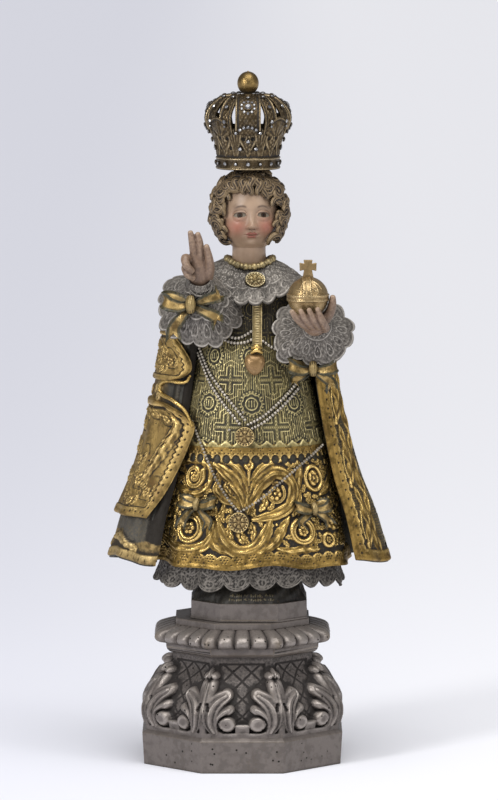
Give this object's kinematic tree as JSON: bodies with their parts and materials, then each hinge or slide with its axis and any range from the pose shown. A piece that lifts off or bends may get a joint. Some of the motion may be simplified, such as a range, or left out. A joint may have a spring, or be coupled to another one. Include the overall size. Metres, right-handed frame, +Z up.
{
  "type": "infant of prague statue",
  "caption": "Carved, gilt and painted wooden figure of a crowned child in a tunic and mantle, blessing and holding an orb, on a silvered eight-sided pedestal.",
  "frame": {"origin": "middle of the pedestal's flat underside", "axes": "+Z up, the figure's front towards -Y, the figure's right hand towards -X"},
  "size_m": [0.2943, 0.2178, 0.7258],
  "materials": {
    "silvered_wood": "silver leaf gone grey-brown, bare ochre ground on worn arrises, wormholes",
    "gilt_robe": "burnished gold leaf over dark green glaze, worn, with tooled and pastiglia relief",
    "gilt_orb": "burnished gold leaf",
    "crown_brass": "tarnished stamped brass with worn gilding",
    "silvered_lace": "silver leaf over carved lace, tarnished grey",
    "flesh_paint": "oil flesh colour, softly glossy, aged",
    "hair_paint": "brown paint with worn gold on the crests",
    "dark_paint": "near-black green paint",
    "paste_stone": "small faceted paste stones in claws"
  },
  "bodies": {
    "root": {"pedestal": "silvered_wood", "figure": "gilt_robe", "orb": "gilt_orb", "crown": "crown_brass"}
  },
  "joints": []
}
